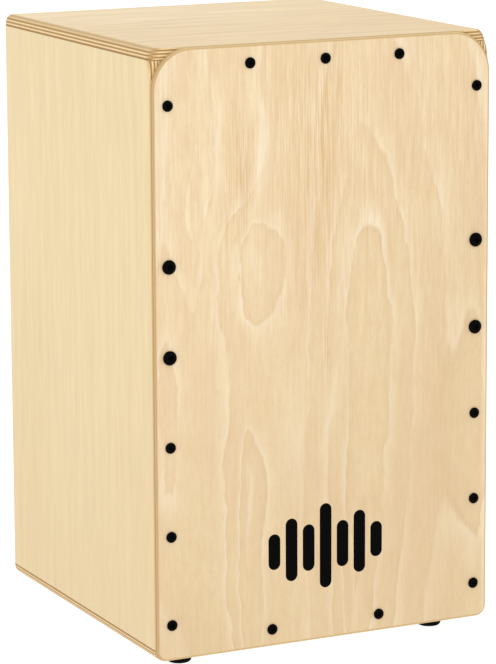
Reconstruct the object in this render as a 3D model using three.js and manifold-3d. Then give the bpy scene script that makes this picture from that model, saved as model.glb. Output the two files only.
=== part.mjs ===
// Cajon: a seat-height box drum of birch plywood, played on its front plate.
// Millimetres, +Z up, the front plate faces -Y. The origin is on the floor,
// under the middle of the whole object.

import * as THREE from 'three';
import { mergeVertices } from 'three/addons/utils/BufferGeometryUtils.js';
import Module from 'manifold-3d';

const wasm = await Module();
wasm.setup();

// Overall size
const WIDTH = 300;
const DEPTH = 300; // front plate face to the rear edges of the walls
const HEIGHT = 500; // floor to seat
const FOOT_HEIGHT = 12;
const GAP = 0.3; // clearance between pieces that meet

// Plywood box
const WALL = 9;
const LONG_EDGE_RADIUS = 8.6; // round-over on the left and right edges of the top and bottom boards
const REAR_EDGE_RADIUS = 3; // upright rear edges
const BACK_PANEL = 5;
const BACK_RECESS = 2; // rear edges of the walls stand this far behind the back panel
const SOUND_HOLE_RADIUS = 55;
const SOUND_HOLE_Z = 300;

// Front plate
const PLATE = 4;
const PLATE_EDGE_RADIUS = 2;
const PLATE_TOP_RADIUS = 34;
const PLATE_BOTTOM_RADIUS = 9;

// Glued battens that the plate and the back panel sit on
const FRONT_CLEAT = 18;
const REAR_CLEAT = 15;

// Screw places on the plate
const SCREW_INSET = 13; // side columns, from the side of the box
const SCREW_PITCH = 72;
const FIRST_SCREW_Z = FOOT_HEIGHT + 29.5;
const CORNER_SCREW_Z = FOOT_HEIGHT + 443.5;
const TOP_SCREW_Z = HEIGHT - 15;
const TOP_SCREW_X = 66;
const BOTTOM_SCREW_Z = FOOT_HEIGHT + 14.5;
const BOTTOM_SCREW_X = 48.5;

// Screws: head radius, head height, shank radius, length under the head
const PLATE_SCREW = { head: 4.4, rise: 2.2, shank: 1.75, length: 20 };
const RAIL_SCREW = { head: 5.7, rise: 3, shank: 2.5, length: 40 };
const RAIL_END_SCREW = { head: 4, rise: 2.6, shank: 2.1, length: 45 };
const CLAMP_SCREW = { head: 3, rise: 1.7, shank: 1.5, length: 14 };
const FOOT_SCREW = { head: 4, rise: 2.4, shank: 2, length: 14.5 };
const BORE_CLEARANCE = 0.3; // between a shank and the wood around it
const SCREW_SIDES = 12;

// Snare rail, its end blocks, and the two sets of wires
const RAIL_HEIGHT = 20;
const RAIL_DEPTH = 30;
const RAIL_SETBACK = 9; // front face of the rail, behind the plate
const BLOCK_WIDTH = 26;
const BLOCK_DEPTH = 24;
const BLOCK_MARGIN = 17; // block above and below its two rail screws
const COUNTERBORE_RADIUS = 4.6;
const COUNTERBORE_DEPTH = 4;
const SNARE_SET_X = 48;
const STRANDS = 10;
const STRAND_PITCH = 4.2;
const STRAND_RADIUS = 1.1;
const STRAND_LENGTH = 150;
const STRAND_FOOT_SETBACK = 7; // strand axis behind the plate, at the rail
const STRAND_TIP_SETBACK = 1.6;
const END_PLATE = { width: 42, height: 15, thick: 1 };
const CLAMP = { width: 58, height: 9, thick: 2, padWidth: 7, front: 3.4 };
const CLAMP_SCREW_X = 25.5;
const DAMPER = { width: 24, height: 16, front: 1 };

// Feet
const FOOT_RADIUS = 10;
const FOOT_EDGE_RADIUS = 3.8;
const FOOT_INSET = 35; // foot axis from the side, and from the front or the rear
const FOOT_RECESS_RADIUS = 4.8;
const FOOT_RECESS_DEPTH = 6;
const FOOT_BORE_RADIUS = 2.4;
const WASHER = { outer: 4.5, inner: 2.4, thick: 1 };

// Planes worked out from the sizes above
const FRONT_Y = (RAIL_SCREW.rise - DEPTH) / 2;
const BACK_Y = FRONT_Y + DEPTH;
const PLATE_BACK_Y = FRONT_Y + PLATE;
const BODY_FRONT_Y = PLATE_BACK_Y + GAP;
const PANEL_FRONT_Y = BACK_Y - BACK_RECESS - BACK_PANEL;
const INSIDE_X = WIDTH / 2 - WALL - GAP;
const INSIDE_BOTTOM = FOOT_HEIGHT + WALL + GAP;
const INSIDE_TOP = HEIGHT - WALL - GAP;
const INSIDE_HEIGHT = INSIDE_TOP - INSIDE_BOTTOM;
const RAIL_SCREW_Z = [3, 4].map((i) => FIRST_SCREW_Z + i * SCREW_PITCH);
const SNARE_Z = (RAIL_SCREW_Z[0] + RAIL_SCREW_Z[1]) / 2;
const RAIL_FRONT_Y = PLATE_BACK_Y + RAIL_SETBACK;
const RAIL_HALF = INSIDE_X - BLOCK_WIDTH - GAP;
const BLOCK_FRONT_Y = BODY_FRONT_Y + FRONT_CLEAT + GAP;
const RAIL_END_SCREW_Y = (BLOCK_FRONT_Y + RAIL_FRONT_Y + RAIL_DEPTH) / 2;

const WOOD = { roughness: 0.5, metalness: 0 };
const birch = new THREE.MeshStandardMaterial({ color: 0xe9d5a8, ...WOOD });
const plateVeneer = new THREE.MeshStandardMaterial({ color: 0xecd7ad, ...WOOD });
const pine = new THREE.MeshStandardMaterial({ color: 0xd9b77e, ...WOOD });
const blackScrew = new THREE.MeshStandardMaterial({ color: 0x101010, roughness: 0.45, metalness: 0.6 });
const steel = new THREE.MeshStandardMaterial({ color: 0xb9bcc0, roughness: 0.3, metalness: 1 });
const rubber = new THREE.MeshStandardMaterial({ color: 0x0c0c0c, roughness: 0.8, metalness: 0 });
const felt = new THREE.MeshStandardMaterial({ color: 0x3a3a3a, roughness: 1, metalness: 0 });

const cajon = new THREE.Group();

function addPiece(name, geometry, material, [x, y, z]) {
  const mesh = new THREE.Mesh(geometry, material);
  mesh.name = name;
  mesh.position.set(x, y, z);
  cajon.add(mesh);
  return mesh;
}

// A closed geometry as a solid that can be cut and joined
function toSolid(geometry) {
  const bare = geometry.clone();
  bare.deleteAttribute('normal');
  bare.deleteAttribute('uv');
  const merged = mergeVertices(bare, 1e-4);
  return new wasm.Manifold(new wasm.Mesh({
    numProp: 3,
    vertProperties: new Float32Array(merged.attributes.position.array),
    triVerts: new Uint32Array(merged.index.array),
  }));
}

function toGeometry(solid) {
  const mesh = solid.getMesh();
  const geometry = new THREE.BufferGeometry();
  geometry.setAttribute('position', new THREE.BufferAttribute(mesh.vertProperties, 3));
  geometry.setIndex(new THREE.BufferAttribute(mesh.triVerts, 1));
  return geometry;
}

function cut(geometry, tools) {
  const cutSolid = tools.reduce((solid, tool) => solid.subtract(toSolid(tool)), toSolid(geometry));
  return toGeometry(cutSolid);
}

function join(geometries) {
  return toGeometry(geometries.map(toSolid).reduce((all, next) => all.add(next)));
}

function intersect(first, second) {
  return toGeometry(toSolid(first).intersect(toSolid(second)));
}

// A box given by its lowest corner and its size
function block([x, y, z], [sx, sy, sz]) {
  return new THREE.BoxGeometry(sx, sy, sz).translate(x + sx / 2, y + sy / 2, z + sz / 2);
}

// Cylinders along Y and along X, starting at a point
function rodAlongY(radius, length, [x, y, z]) {
  return new THREE.CylinderGeometry(radius, radius, length, SCREW_SIDES).translate(x, y + length / 2, z);
}

function rodAlongX(radius, length, [x, y, z]) {
  const rod = new THREE.CylinderGeometry(radius, radius, length, SCREW_SIDES).rotateZ(Math.PI / 2);
  return rod.translate(x + length / 2, y, z);
}

// A rectangle with its four corner radii: bottom left, bottom right, top right, top left
function roundedRectangle(x0, y0, x1, y1, [bl, br, tr, tl]) {
  const shape = new THREE.Shape();
  const corners = [
    [x0 + bl, y0 + bl, bl, Math.PI],
    [x1 - br, y0 + br, br, Math.PI * 1.5],
    [x1 - tr, y1 - tr, tr, 0],
    [x0 + tl, y1 - tl, tl, Math.PI / 2],
  ];
  shape.moveTo(x0, y0 + bl);
  for (const [cx, cy, radius, start] of corners) {
    if (radius > 0) {
      shape.absarc(cx, cy, radius, start, start + Math.PI / 2, false);
    } else {
      shape.lineTo(cx, cy);
    }
  }
  shape.closePath();
  return shape;
}

// An outline drawn in X and Z, as a slab from y = 0 to y = thickness
function slab(shape, thickness, curveSegments) {
  const geometry = new THREE.ExtrudeGeometry(shape, { depth: thickness, bevelEnabled: false, curveSegments });
  return geometry.rotateX(Math.PI / 2).translate(0, thickness, 0);
}

// The box seen from above, with its upright rear edges rounded
function planPrism(height) {
  const r = REAR_EDGE_RADIUS;
  const plan = roundedRectangle(-WIDTH / 2, BODY_FRONT_Y, WIDTH / 2, BACK_Y, [0, 0, r, r]);
  return new THREE.ExtrudeGeometry(plan, { depth: height, bevelEnabled: false, curveSegments: 4 });
}

// Top and bottom boards: full width, long outer edges rounded over
function boardGeometry(radii) {
  const section = roundedRectangle(-WIDTH / 2, 0, WIDTH / 2, WALL, radii);
  const board = slab(section, BACK_Y - BODY_FRONT_Y, 8).translate(0, BODY_FRONT_Y, 0);
  return intersect(board, planPrism(WALL));
}

function footPlaces() {
  const places = [];
  for (const [row, y] of [['front', FRONT_Y + FOOT_INSET], ['rear', BACK_Y - FOOT_INSET]]) {
    for (const [side, sign] of [['left', -1], ['right', 1]]) {
      places.push({ name: `${row}_${side}`, x: sign * (WIDTH / 2 - FOOT_INSET), y });
    }
  }
  return places;
}

function addBoards() {
  const r = LONG_EDGE_RADIUS;
  addPiece('top_board', boardGeometry([0, 0, r, r]), birch, [0, 0, HEIGHT - WALL]);
  const pilotDepth = WALL - 0.5;
  const pilots = footPlaces().map(({ x, y }) => {
    const radius = FOOT_SCREW.shank + BORE_CLEARANCE;
    const pilot = new THREE.CylinderGeometry(radius, radius, pilotDepth + 1, SCREW_SIDES);
    return pilot.rotateX(Math.PI / 2).translate(x, y, (pilotDepth - 1) / 2);
  });
  addPiece('bottom_board', cut(boardGeometry([r, r, 0, 0]), pilots), birch, [0, 0, FOOT_HEIGHT]);
}

function addSides() {
  const outline = planPrism(INSIDE_HEIGHT);
  for (const [name, x] of [['left_side', -WIDTH / 2], ['right_side', WIDTH / 2 - WALL]]) {
    const strip = block([x, BODY_FRONT_Y - 1, 0], [WALL, DEPTH, INSIDE_HEIGHT]);
    addPiece(name, intersect(strip, outline), birch, [0, 0, INSIDE_BOTTOM]);
  }
}

function addBackPanel() {
  const half = INSIDE_X;
  const shape = roundedRectangle(-half, INSIDE_BOTTOM, half, INSIDE_TOP, [0, 0, 0, 0]);
  const hole = new THREE.Path();
  hole.absarc(0, SOUND_HOLE_Z, SOUND_HOLE_RADIUS, 0, Math.PI * 2, false);
  shape.holes.push(hole);
  addPiece('back_panel', slab(shape, BACK_PANEL, 48), birch, [0, PANEL_FRONT_Y, 0]);
}

// Every screw that holds the front plate: name, place, size and the cleat it bites
function plateScrews() {
  const screws = [];
  for (const [side, sign] of [['left', -1], ['right', 1]]) {
    const x = sign * (WIDTH / 2 - SCREW_INSET);
    const heights = [0, 1, 2].map((i) => FIRST_SCREW_Z + i * SCREW_PITCH);
    [...heights, CORNER_SCREW_Z].forEach((z, i) => {
      screws.push({ name: `plate_screw_${side}_${i + 1}`, x, z, size: PLATE_SCREW, cleat: side });
    });
    RAIL_SCREW_Z.forEach((z, i) => {
      const level = ['lower', 'upper'][i];
      screws.push({ name: `rail_screw_${side}_${level}`, x, z, size: RAIL_SCREW, cleat: side });
    });
  }
  [-TOP_SCREW_X, 0, TOP_SCREW_X].forEach((x, i) => {
    screws.push({ name: `plate_screw_top_${i + 1}`, x, z: TOP_SCREW_Z, size: PLATE_SCREW, cleat: 'top' });
  });
  [-BOTTOM_SCREW_X, BOTTOM_SCREW_X].forEach((x, i) => {
    const name = `plate_screw_bottom_${i + 1}`;
    screws.push({ name, x, z: BOTTOM_SCREW_Z, size: PLATE_SCREW, cleat: 'bottom' });
  });
  return screws;
}

// Holes for a list of plate screws, right through everything from y = start
function screwHoles(screws, start, length) {
  return screws.map(({ x, z, size }) => rodAlongY(size.shank + BORE_CLEARANCE, length, [x, start, z]));
}

// Playing plate: its front edge is rounded all the way round and its top corners have a wide radius
function addFrontPlate() {
  const e = PLATE_EDGE_RADIUS;
  const radii = [PLATE_BOTTOM_RADIUS, PLATE_BOTTOM_RADIUS, PLATE_TOP_RADIUS, PLATE_TOP_RADIUS];
  const inset = roundedRectangle(
    e - WIDTH / 2, FOOT_HEIGHT + e, WIDTH / 2 - e, HEIGHT - e, radii.map((r) => r - e));
  const pillow = new THREE.ExtrudeGeometry(inset, {
    depth: PLATE, bevelThickness: e, bevelSize: e, bevelSegments: 3, curveSegments: 8,
  });
  pillow.rotateX(Math.PI / 2).translate(0, PLATE + e, 0);
  const frontHalf = block([-WIDTH, -1, 0], [2 * WIDTH, PLATE + 1, 2 * HEIGHT]);
  const plate = intersect(pillow, frontHalf);
  addPiece('front_plate', cut(plate, screwHoles(plateScrews(), -1, PLATE + 2)), plateVeneer, [0, FRONT_Y, 0]);
}

// Four battens inside the front or the rear of the box, the upright ones full height
function cleatBoxes(size) {
  const between = INSIDE_X - size - GAP;
  return {
    left: [[-INSIDE_X, 0, INSIDE_BOTTOM], [size, size, INSIDE_HEIGHT]],
    right: [[INSIDE_X - size, 0, INSIDE_BOTTOM], [size, size, INSIDE_HEIGHT]],
    top: [[-between, 0, INSIDE_TOP - size], [2 * between, size, size]],
    bottom: [[-between, 0, INSIDE_BOTTOM], [2 * between, size, size]],
  };
}

function addCleats() {
  for (const [side, [corner, size]] of Object.entries(cleatBoxes(FRONT_CLEAT))) {
    const screws = plateScrews().filter(({ cleat }) => cleat === side);
    const holes = screwHoles(screws, -1, FRONT_CLEAT + 2);
    addPiece(`front_cleat_${side}`, cut(block(corner, size), holes), pine, [0, BODY_FRONT_Y, 0]);
  }
  for (const [side, [corner, size]] of Object.entries(cleatBoxes(REAR_CLEAT))) {
    addPiece(`rear_cleat_${side}`, block(corner, size), pine, [0, PANEL_FRONT_Y - GAP - REAR_CLEAT, 0]);
  }
}

// A screw along Y: domed head below y = 0, shank and point above it
function screwGeometry({ head, rise, shank, length }) {
  const rim = rise * 0.4; // upright rim under the dome
  const profile = [new THREE.Vector2(0, length), new THREE.Vector2(shank, length - 1.6 * shank)];
  profile.push(new THREE.Vector2(shank, 0), new THREE.Vector2(head, 0));
  const steps = 3;
  for (let i = 0; i <= steps; i += 1) {
    const angle = (i / steps) * (Math.PI / 2);
    const radius = i === steps ? 0 : head * Math.cos(angle);
    profile.push(new THREE.Vector2(radius, -rim - (rise - rim) * Math.sin(angle)));
  }
  return new THREE.LatheGeometry(profile.reverse(), SCREW_SIDES);
}

function crossSocket({ head, rise }) {
  const arm = head * 1.1;
  const web = head * 0.22;
  const depth = rise * 0.6;
  const y = -rise - 1;
  return [
    block([-arm / 2, y, -web / 2], [arm, depth + 1, web]),
    block([-web / 2, y, -arm / 2], [web, depth + 1, arm]),
  ];
}

function hexSocket({ head, rise }) {
  const radius = head * 0.4;
  const socket = new THREE.CylinderGeometry(radius, radius, rise * 1.2, 6);
  return [socket.translate(0, -rise, 0)];
}

function addPlateScrews() {
  const small = cut(screwGeometry(PLATE_SCREW), crossSocket(PLATE_SCREW));
  const large = cut(screwGeometry(RAIL_SCREW), hexSocket(RAIL_SCREW));
  for (const { name, x, z, size } of plateScrews()) {
    addPiece(name, size === RAIL_SCREW ? large : small, blackScrew, [x, FRONT_Y - 0.1, z]);
  }
}

// Hardwood blocks behind the side cleats: the rail butts between them
function addSnareBlocks() {
  const height = SCREW_PITCH + 2 * BLOCK_MARGIN;
  const boreRadius = RAIL_END_SCREW.shank + BORE_CLEARANCE;
  for (const [side, sign] of [['left', -1], ['right', 1]]) {
    const outer = sign * INSIDE_X;
    const inner = outer - sign * BLOCK_WIDTH;
    const x0 = Math.min(outer, inner);
    const body = block([x0, BLOCK_FRONT_Y, SNARE_Z - height / 2], [BLOCK_WIDTH, BLOCK_DEPTH, height]);
    const own = plateScrews().filter(({ cleat, size }) => cleat === side && size === RAIL_SCREW);
    const counterbore = COUNTERBORE_DEPTH + 1;
    const boreX = sign < 0 ? outer - 1 : outer - COUNTERBORE_DEPTH;
    const tools = [
      ...screwHoles(own, BLOCK_FRONT_Y - 1, BLOCK_DEPTH + 2),
      rodAlongX(boreRadius, BLOCK_WIDTH + 2, [x0 - 1, RAIL_END_SCREW_Y, SNARE_Z]),
      rodAlongX(COUNTERBORE_RADIUS, counterbore, [boreX, RAIL_END_SCREW_Y, SNARE_Z]),
    ];
    addPiece(`snare_block_${side}`, cut(body, tools), pine, [0, 0, 0]);
    const seatX = outer - sign * (COUNTERBORE_DEPTH - 0.1);
    const place = [seatX, RAIL_END_SCREW_Y, SNARE_Z];
    const screw = addPiece(`rail_end_screw_${side}`, screwGeometry(RAIL_END_SCREW), steel, place);
    screw.rotation.z = sign * (Math.PI / 2);
  }
}

function clampScrewPlaces() {
  const places = [];
  for (const [side, centre] of [['left', -SNARE_SET_X], ['right', SNARE_SET_X]]) {
    const outward = Math.sign(centre);
    places.push({ name: `${side}_outer`, x: centre + outward * CLAMP_SCREW_X });
    places.push({ name: `${side}_inner`, x: centre - outward * CLAMP_SCREW_X });
  }
  return places;
}

function addSnareRail() {
  const rail = block([-RAIL_HALF, 0, -RAIL_HEIGHT / 2], [2 * RAIL_HALF, RAIL_DEPTH, RAIL_HEIGHT]);
  const endBore = RAIL_END_SCREW.shank + BORE_CLEARANCE;
  const endDepth = RAIL_END_SCREW.length - BLOCK_WIDTH + COUNTERBORE_DEPTH + 2;
  const endY = RAIL_END_SCREW_Y - RAIL_FRONT_Y;
  const pilotRadius = CLAMP_SCREW.shank + BORE_CLEARANCE;
  const tools = [
    rodAlongX(endBore, endDepth + 1, [-RAIL_HALF - 1, endY, 0]),
    rodAlongX(endBore, endDepth + 1, [RAIL_HALF - endDepth, endY, 0]),
    ...clampScrewPlaces().map(({ x }) => rodAlongY(pilotRadius, CLAMP_SCREW.length, [x, -1, 0])),
  ];
  addPiece('snare_rail', cut(rail, tools), pine, [0, RAIL_FRONT_Y, SNARE_Z]);
}

// Ten leaning strands joined to their end plate, as one soldered set
function snareSetGeometry() {
  const lean = Math.atan2(STRAND_FOOT_SETBACK - STRAND_TIP_SETBACK, STRAND_LENGTH);
  const foot = -END_PLATE.height / 2 + 1;
  const plateY = STRAND_FOOT_SETBACK + STRAND_RADIUS * 0.6;
  const low = [-END_PLATE.width / 2, plateY, -END_PLATE.height / 2];
  const parts = [block(low, [END_PLATE.width, END_PLATE.thick, END_PLATE.height])];
  for (let i = 0; i < STRANDS; i += 1) {
    const strand = new THREE.CylinderGeometry(STRAND_RADIUS, STRAND_RADIUS, STRAND_LENGTH, 6);
    strand.rotateX(Math.PI / 2).translate(0, 0, STRAND_LENGTH / 2).rotateX(lean);
    strand.translate((i - (STRANDS - 1) / 2) * STRAND_PITCH, STRAND_FOOT_SETBACK, foot);
    parts.push(strand);
  }
  return join(parts);
}

// Steel bridge over the strands, standing on the rail with a pad at each end
function clampGeometry() {
  const { width, height, thick, padWidth, front } = CLAMP;
  const back = RAIL_SETBACK - GAP;
  const bar = block([-width / 2, front, -height / 2], [width, thick, height]);
  const pads = [-width / 2, width / 2 - padWidth].map((x) => (
    block([x, front, -height / 2], [padWidth, back - front, height])));
  const radius = CLAMP_SCREW.shank + BORE_CLEARANCE;
  const bores = [-CLAMP_SCREW_X, CLAMP_SCREW_X].map((x) => rodAlongY(radius, RAIL_SETBACK, [x, 1, 0]));
  return cut(join([bar, ...pads]), bores);
}

function addSnares() {
  for (const [side, x] of [['left', -SNARE_SET_X], ['right', SNARE_SET_X]]) {
    addPiece(`snare_wires_${side}`, snareSetGeometry(), steel, [x, PLATE_BACK_Y, SNARE_Z]);
    addPiece(`snare_clamp_${side}`, clampGeometry(), steel, [x, PLATE_BACK_Y, SNARE_Z]);
  }
  for (const { name, x } of clampScrewPlaces()) {
    const y = PLATE_BACK_Y + CLAMP.front - 0.1;
    addPiece(`clamp_screw_${name}`, screwGeometry(CLAMP_SCREW), steel, [x, y, SNARE_Z]);
  }
  const { width, height, front } = DAMPER;
  const depth = RAIL_SETBACK - GAP - front;
  const pad = block([-width / 2, 0, -height / 2], [width, depth, height]);
  addPiece('damper_pad', pad, felt, [0, PLATE_BACK_Y + front, SNARE_Z]);
}

// Rubber foot, drawn upside up around Y: a bored button with a recess for the screw head
function footGeometry() {
  const profile = [
    new THREE.Vector2(FOOT_BORE_RADIUS, FOOT_HEIGHT - GAP),
    new THREE.Vector2(FOOT_BORE_RADIUS, FOOT_RECESS_DEPTH),
    new THREE.Vector2(FOOT_RECESS_RADIUS, FOOT_RECESS_DEPTH),
    new THREE.Vector2(FOOT_RECESS_RADIUS, 0),
  ];
  const steps = 4;
  for (let i = 0; i <= steps; i += 1) {
    const angle = (i / steps) * (Math.PI / 2);
    const radius = FOOT_RADIUS - FOOT_EDGE_RADIUS * (1 - Math.sin(angle));
    profile.push(new THREE.Vector2(radius, FOOT_EDGE_RADIUS * (1 - Math.cos(angle))));
  }
  profile.push(new THREE.Vector2(FOOT_RADIUS, FOOT_HEIGHT - GAP), profile[0].clone());
  return new THREE.LatheGeometry(profile, 24);
}

function washerGeometry() {
  const { outer, inner, thick } = WASHER;
  const corners = [[inner, thick], [inner, 0], [outer, 0], [outer, thick], [inner, thick]];
  return new THREE.LatheGeometry(corners.map(([r, y]) => new THREE.Vector2(r, y)), 20);
}

function addFeet() {
  const washerZ = FOOT_RECESS_DEPTH - WASHER.thick - 0.1;
  for (const { name, x, y } of footPlaces()) {
    const pieces = [
      addPiece(`foot_${name}`, footGeometry(), rubber, [x, y, 0]),
      addPiece(`foot_washer_${name}`, washerGeometry(), steel, [x, y, washerZ]),
      addPiece(`foot_screw_${name}`, screwGeometry(FOOT_SCREW), steel, [x, y, washerZ - 0.1]),
    ];
    for (const piece of pieces) {
      piece.rotation.x = Math.PI / 2;
    }
  }
}

addBoards();
addSides();
addBackPanel();
addFrontPlate();
addCleats();
addPlateScrews();
addSnareBlocks();
addSnareRail();
addSnares();
addFeet();

export default cajon;
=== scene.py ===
import math
import random

import bmesh
import bpy
from mathutils import Matrix, Vector
from mathutils import noise as solid_noise


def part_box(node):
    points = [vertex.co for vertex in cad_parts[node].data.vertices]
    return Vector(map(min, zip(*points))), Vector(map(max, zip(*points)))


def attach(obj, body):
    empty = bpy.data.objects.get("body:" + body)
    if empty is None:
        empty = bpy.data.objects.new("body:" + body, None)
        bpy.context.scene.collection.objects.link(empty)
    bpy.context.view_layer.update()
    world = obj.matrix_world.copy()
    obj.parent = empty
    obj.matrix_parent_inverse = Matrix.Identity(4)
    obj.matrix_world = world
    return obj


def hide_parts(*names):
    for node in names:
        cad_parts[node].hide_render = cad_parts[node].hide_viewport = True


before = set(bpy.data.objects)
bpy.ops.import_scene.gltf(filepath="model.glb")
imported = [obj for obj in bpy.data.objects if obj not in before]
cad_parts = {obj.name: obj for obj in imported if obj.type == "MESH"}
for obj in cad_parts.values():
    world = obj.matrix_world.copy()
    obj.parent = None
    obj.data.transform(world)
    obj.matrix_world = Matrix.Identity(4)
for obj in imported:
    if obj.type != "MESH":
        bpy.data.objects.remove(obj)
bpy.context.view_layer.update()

MM = 0.001
X, Y, Z = 0, 1, 2
BODY = "root"
SIDES = ("left", "right")

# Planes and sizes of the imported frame
PLATE_LOW, PLATE_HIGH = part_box("front_plate")
TOP_LOW, TOP_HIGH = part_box("top_board")
BOTTOM_LOW, BOTTOM_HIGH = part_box("bottom_board")
PANEL_LOW, PANEL_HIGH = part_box("back_panel")
WALL = TOP_HIGH.z - TOP_LOW.z
FRONT_Y = PLATE_LOW.y
REAR_Y = TOP_HIGH.y
BOX_MIDDLE = Vector((0, (FRONT_Y + REAR_Y) / 2, (BOTTOM_LOW.z + TOP_HIGH.z) / 2))

# Wood edges
EASE = 0.4 * MM  # every sawn edge is broken by this much
JOINT_EASE = 0.12 * MM  # but where a side meets the top or bottom board, both are sanded flush
LONG_EDGE_RADIUS = 8.6 * MM
REAR_CORNER_RADIUS = 3 * MM
FRONT_CORNER_RADIUS = 8 * MM  # upright front edge at the top joint, beside the plate's wide top corner
FRONT_CORNER_TAPER = 17 * MM  # height over which that edge becomes sharp again below the joint
FRONT_CORNER_GROWTH = 0.6  # and how fast its radius grows above the joint
PLATE_EDGE_RADIUS = 2.8 * MM
PLATE_TOP_RADIUS = 34 * MM
PLATE_BOTTOM_RADIUS = 9 * MM
SOUND_HOLE = Vector((0, 0, 300 * MM))
SOUND_HOLE_RADIUS = 55 * MM
SOUND_HOLE_LIP = 1.6 * MM
BORE_CLEARANCE = 0.3 * MM
BATTEN_EASE = 0.6 * MM

# Bores
PLATE_SCREWS = ("plate_screw", "rail_screw")  # the two kinds that pass through the plate
OVERCUT = 1 * MM  # how far a cutter starts outside the face that it opens
FOOT_PILOT_LENGTH = WALL + 0.5 * MM
PLATE_BORE_LENGTH = 60 * MM  # through the cleat and the snare block behind it
RAIL_BORE_MARGIN = 8 * MM  # past both ends of the screw
COUNTERBORE_SPARE = 1.2 * MM  # how much deeper it is than the screw's head
COUNTERBORE_OVERCUT = 4 * MM
RAIL_PILOT_LENGTH = 14 * MM
CLAMP_BORE_LENGTH = 12 * MM

# Layers of the plywood, outer face first
BOARD_PLIES = [WALL / 7] * 7
PANEL_PLIES = [(PANEL_HIGH.y - PANEL_LOW.y) / 3] * 3
PLATE_PLIES = [0.3 * MM, 3.4 * MM, 0.3 * MM]

# Camera: a long lens, a little above the box and to its left
LENS_MM = 178.4
YAW = math.radians(26.07)
PITCH = math.radians(10.22)
ROLL = math.radians(-0.28)
DISTANCE = 2.758
AIM_RIGHT = 4.2 * MM
AIM_UP = 38.5 * MM
SHIFT_UP = -0.0994


# ---------------------------------------------------------------- meshes

def unit(axis):
    return Vector([1.0 if i == axis else 0.0 for i in range(3)])


def loft(rings, closed=False):
    """Skin over rings with equally many points. Open ends are capped, closed skins join last to first."""
    count = len(rings[0])
    verts = [point for ring in rings for point in ring]
    faces = []
    for i in range(len(rings) if closed else len(rings) - 1):
        a = i * count
        b = (i + 1) % len(rings) * count
        for j in range(count):
            k = (j + 1) % count
            faces.append((a + j, a + k, b + k, b + j))
    if not closed:
        faces.append(tuple(range(count)))
        faces.append(tuple(range(len(verts) - count, len(verts))))
    return verts, faces


def mesh_of(name, verts, faces):
    mesh = bpy.data.meshes.new(name)
    mesh.from_pydata([tuple(v) for v in verts], [], faces)
    tidy = bmesh.new()
    tidy.from_mesh(mesh)
    bmesh.ops.remove_doubles(tidy, verts=tidy.verts, dist=1e-7)
    bmesh.ops.recalc_face_normals(tidy, faces=tidy.faces)
    tidy.to_mesh(mesh)
    tidy.free()
    return mesh


def joined(parts):
    """Several (verts, faces) pairs as one."""
    verts, faces = [], []
    for part_verts, part_faces in parts:
        start = len(verts)
        verts += part_verts
        faces += [tuple(start + i for i in face) for face in part_faces]
    return verts, faces


def added(name, data):
    """A new object in the scene."""
    thing = bpy.data.objects.new(name, data)
    bpy.context.scene.collection.objects.link(thing)
    return thing


def carve(mesh, cutters):
    """mesh with the cutters taken out of it."""
    result = mesh
    for cutter in cutters:
        body = added("carve_body", result)
        tool = added("carve_tool", mesh_of("carve_tool", *cutter))
        difference = body.modifiers.new("difference", "BOOLEAN")
        difference.operation = "DIFFERENCE"
        difference.solver = "EXACT"
        difference.object = tool
        depsgraph = bpy.context.evaluated_depsgraph_get()
        result = bpy.data.meshes.new_from_object(body.evaluated_get(depsgraph))
        for thing in (body, tool):
            bpy.data.objects.remove(thing)
    return result


def circle(centre, radius, axis, sides=48):
    """Points round an axis, through a centre."""
    u = unit((axis + 1) % 3) * radius
    v = unit((axis + 2) % 3) * radius
    turns = [2 * math.pi * i / sides for i in range(sides)]
    return [Vector(centre) + u * math.cos(t) + v * math.sin(t) for t in turns]


def rod(start, axis, radius, length):
    return loft([circle(start, radius, axis), circle(start + unit(axis) * length, radius, axis)])


def show(name, mesh, material, nodes, place=None, sharp_deg=30):
    """Makes the piece that stands for some CAD nodes and rides on the box."""
    mesh.materials.clear()
    mesh.materials.append(material)
    mesh.shade_smooth()
    mesh.set_sharp_from_angle(angle=math.radians(sharp_deg))
    piece = added(name, mesh)
    if place is not None:
        piece.matrix_world = place
    weighted = piece.modifiers.new("weighted_normals", "WEIGHTED_NORMAL")
    weighted.keep_sharp = True
    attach(piece, BODY)
    if nodes:
        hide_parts(*nodes)
    return piece


def build(name, shape, material, nodes, cutters=(), sharp_deg=30):
    """The piece made from one (verts, faces) shape, with some others taken out of it."""
    mesh = carve(mesh_of(name, *shape), cutters)
    return show(name, mesh, material, nodes, sharp_deg=sharp_deg)


def arc_inset(depth, radius):
    """How far a quarter round stands back from its side, at a depth below the face that it meets."""
    if depth >= radius:
        return 0.0
    return radius - math.sqrt(radius ** 2 - (radius - max(depth, 0.0)) ** 2)


def round_depths(radius, steps):
    """Depths below a face at which a quarter round is sampled."""
    return [radius * (1 - math.cos(math.pi / 2 * i / steps)) for i in range(steps + 1)]


def outline(low, high, radii, steps=8):
    """Points of a rectangle with four corner radii, turning left from its lowest corner (u, v pairs)."""
    (u0, v0), (u1, v1) = low, high
    a, b, c, d = radii
    corners = [
        (u0 + a, v0 + a, a, 2),
        (u1 - b, v0 + b, b, 3),
        (u1 - c, v1 - c, c, 0),
        (u0 + d, v1 - d, d, 1),
    ]
    points = []
    for u, v, radius, quarter in corners:
        for i in range(steps + 1):
            angle = math.pi / 2 * (quarter + i / steps)
            points.append((u + radius * math.cos(angle), v + radius * math.sin(angle)))
    return points


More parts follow.
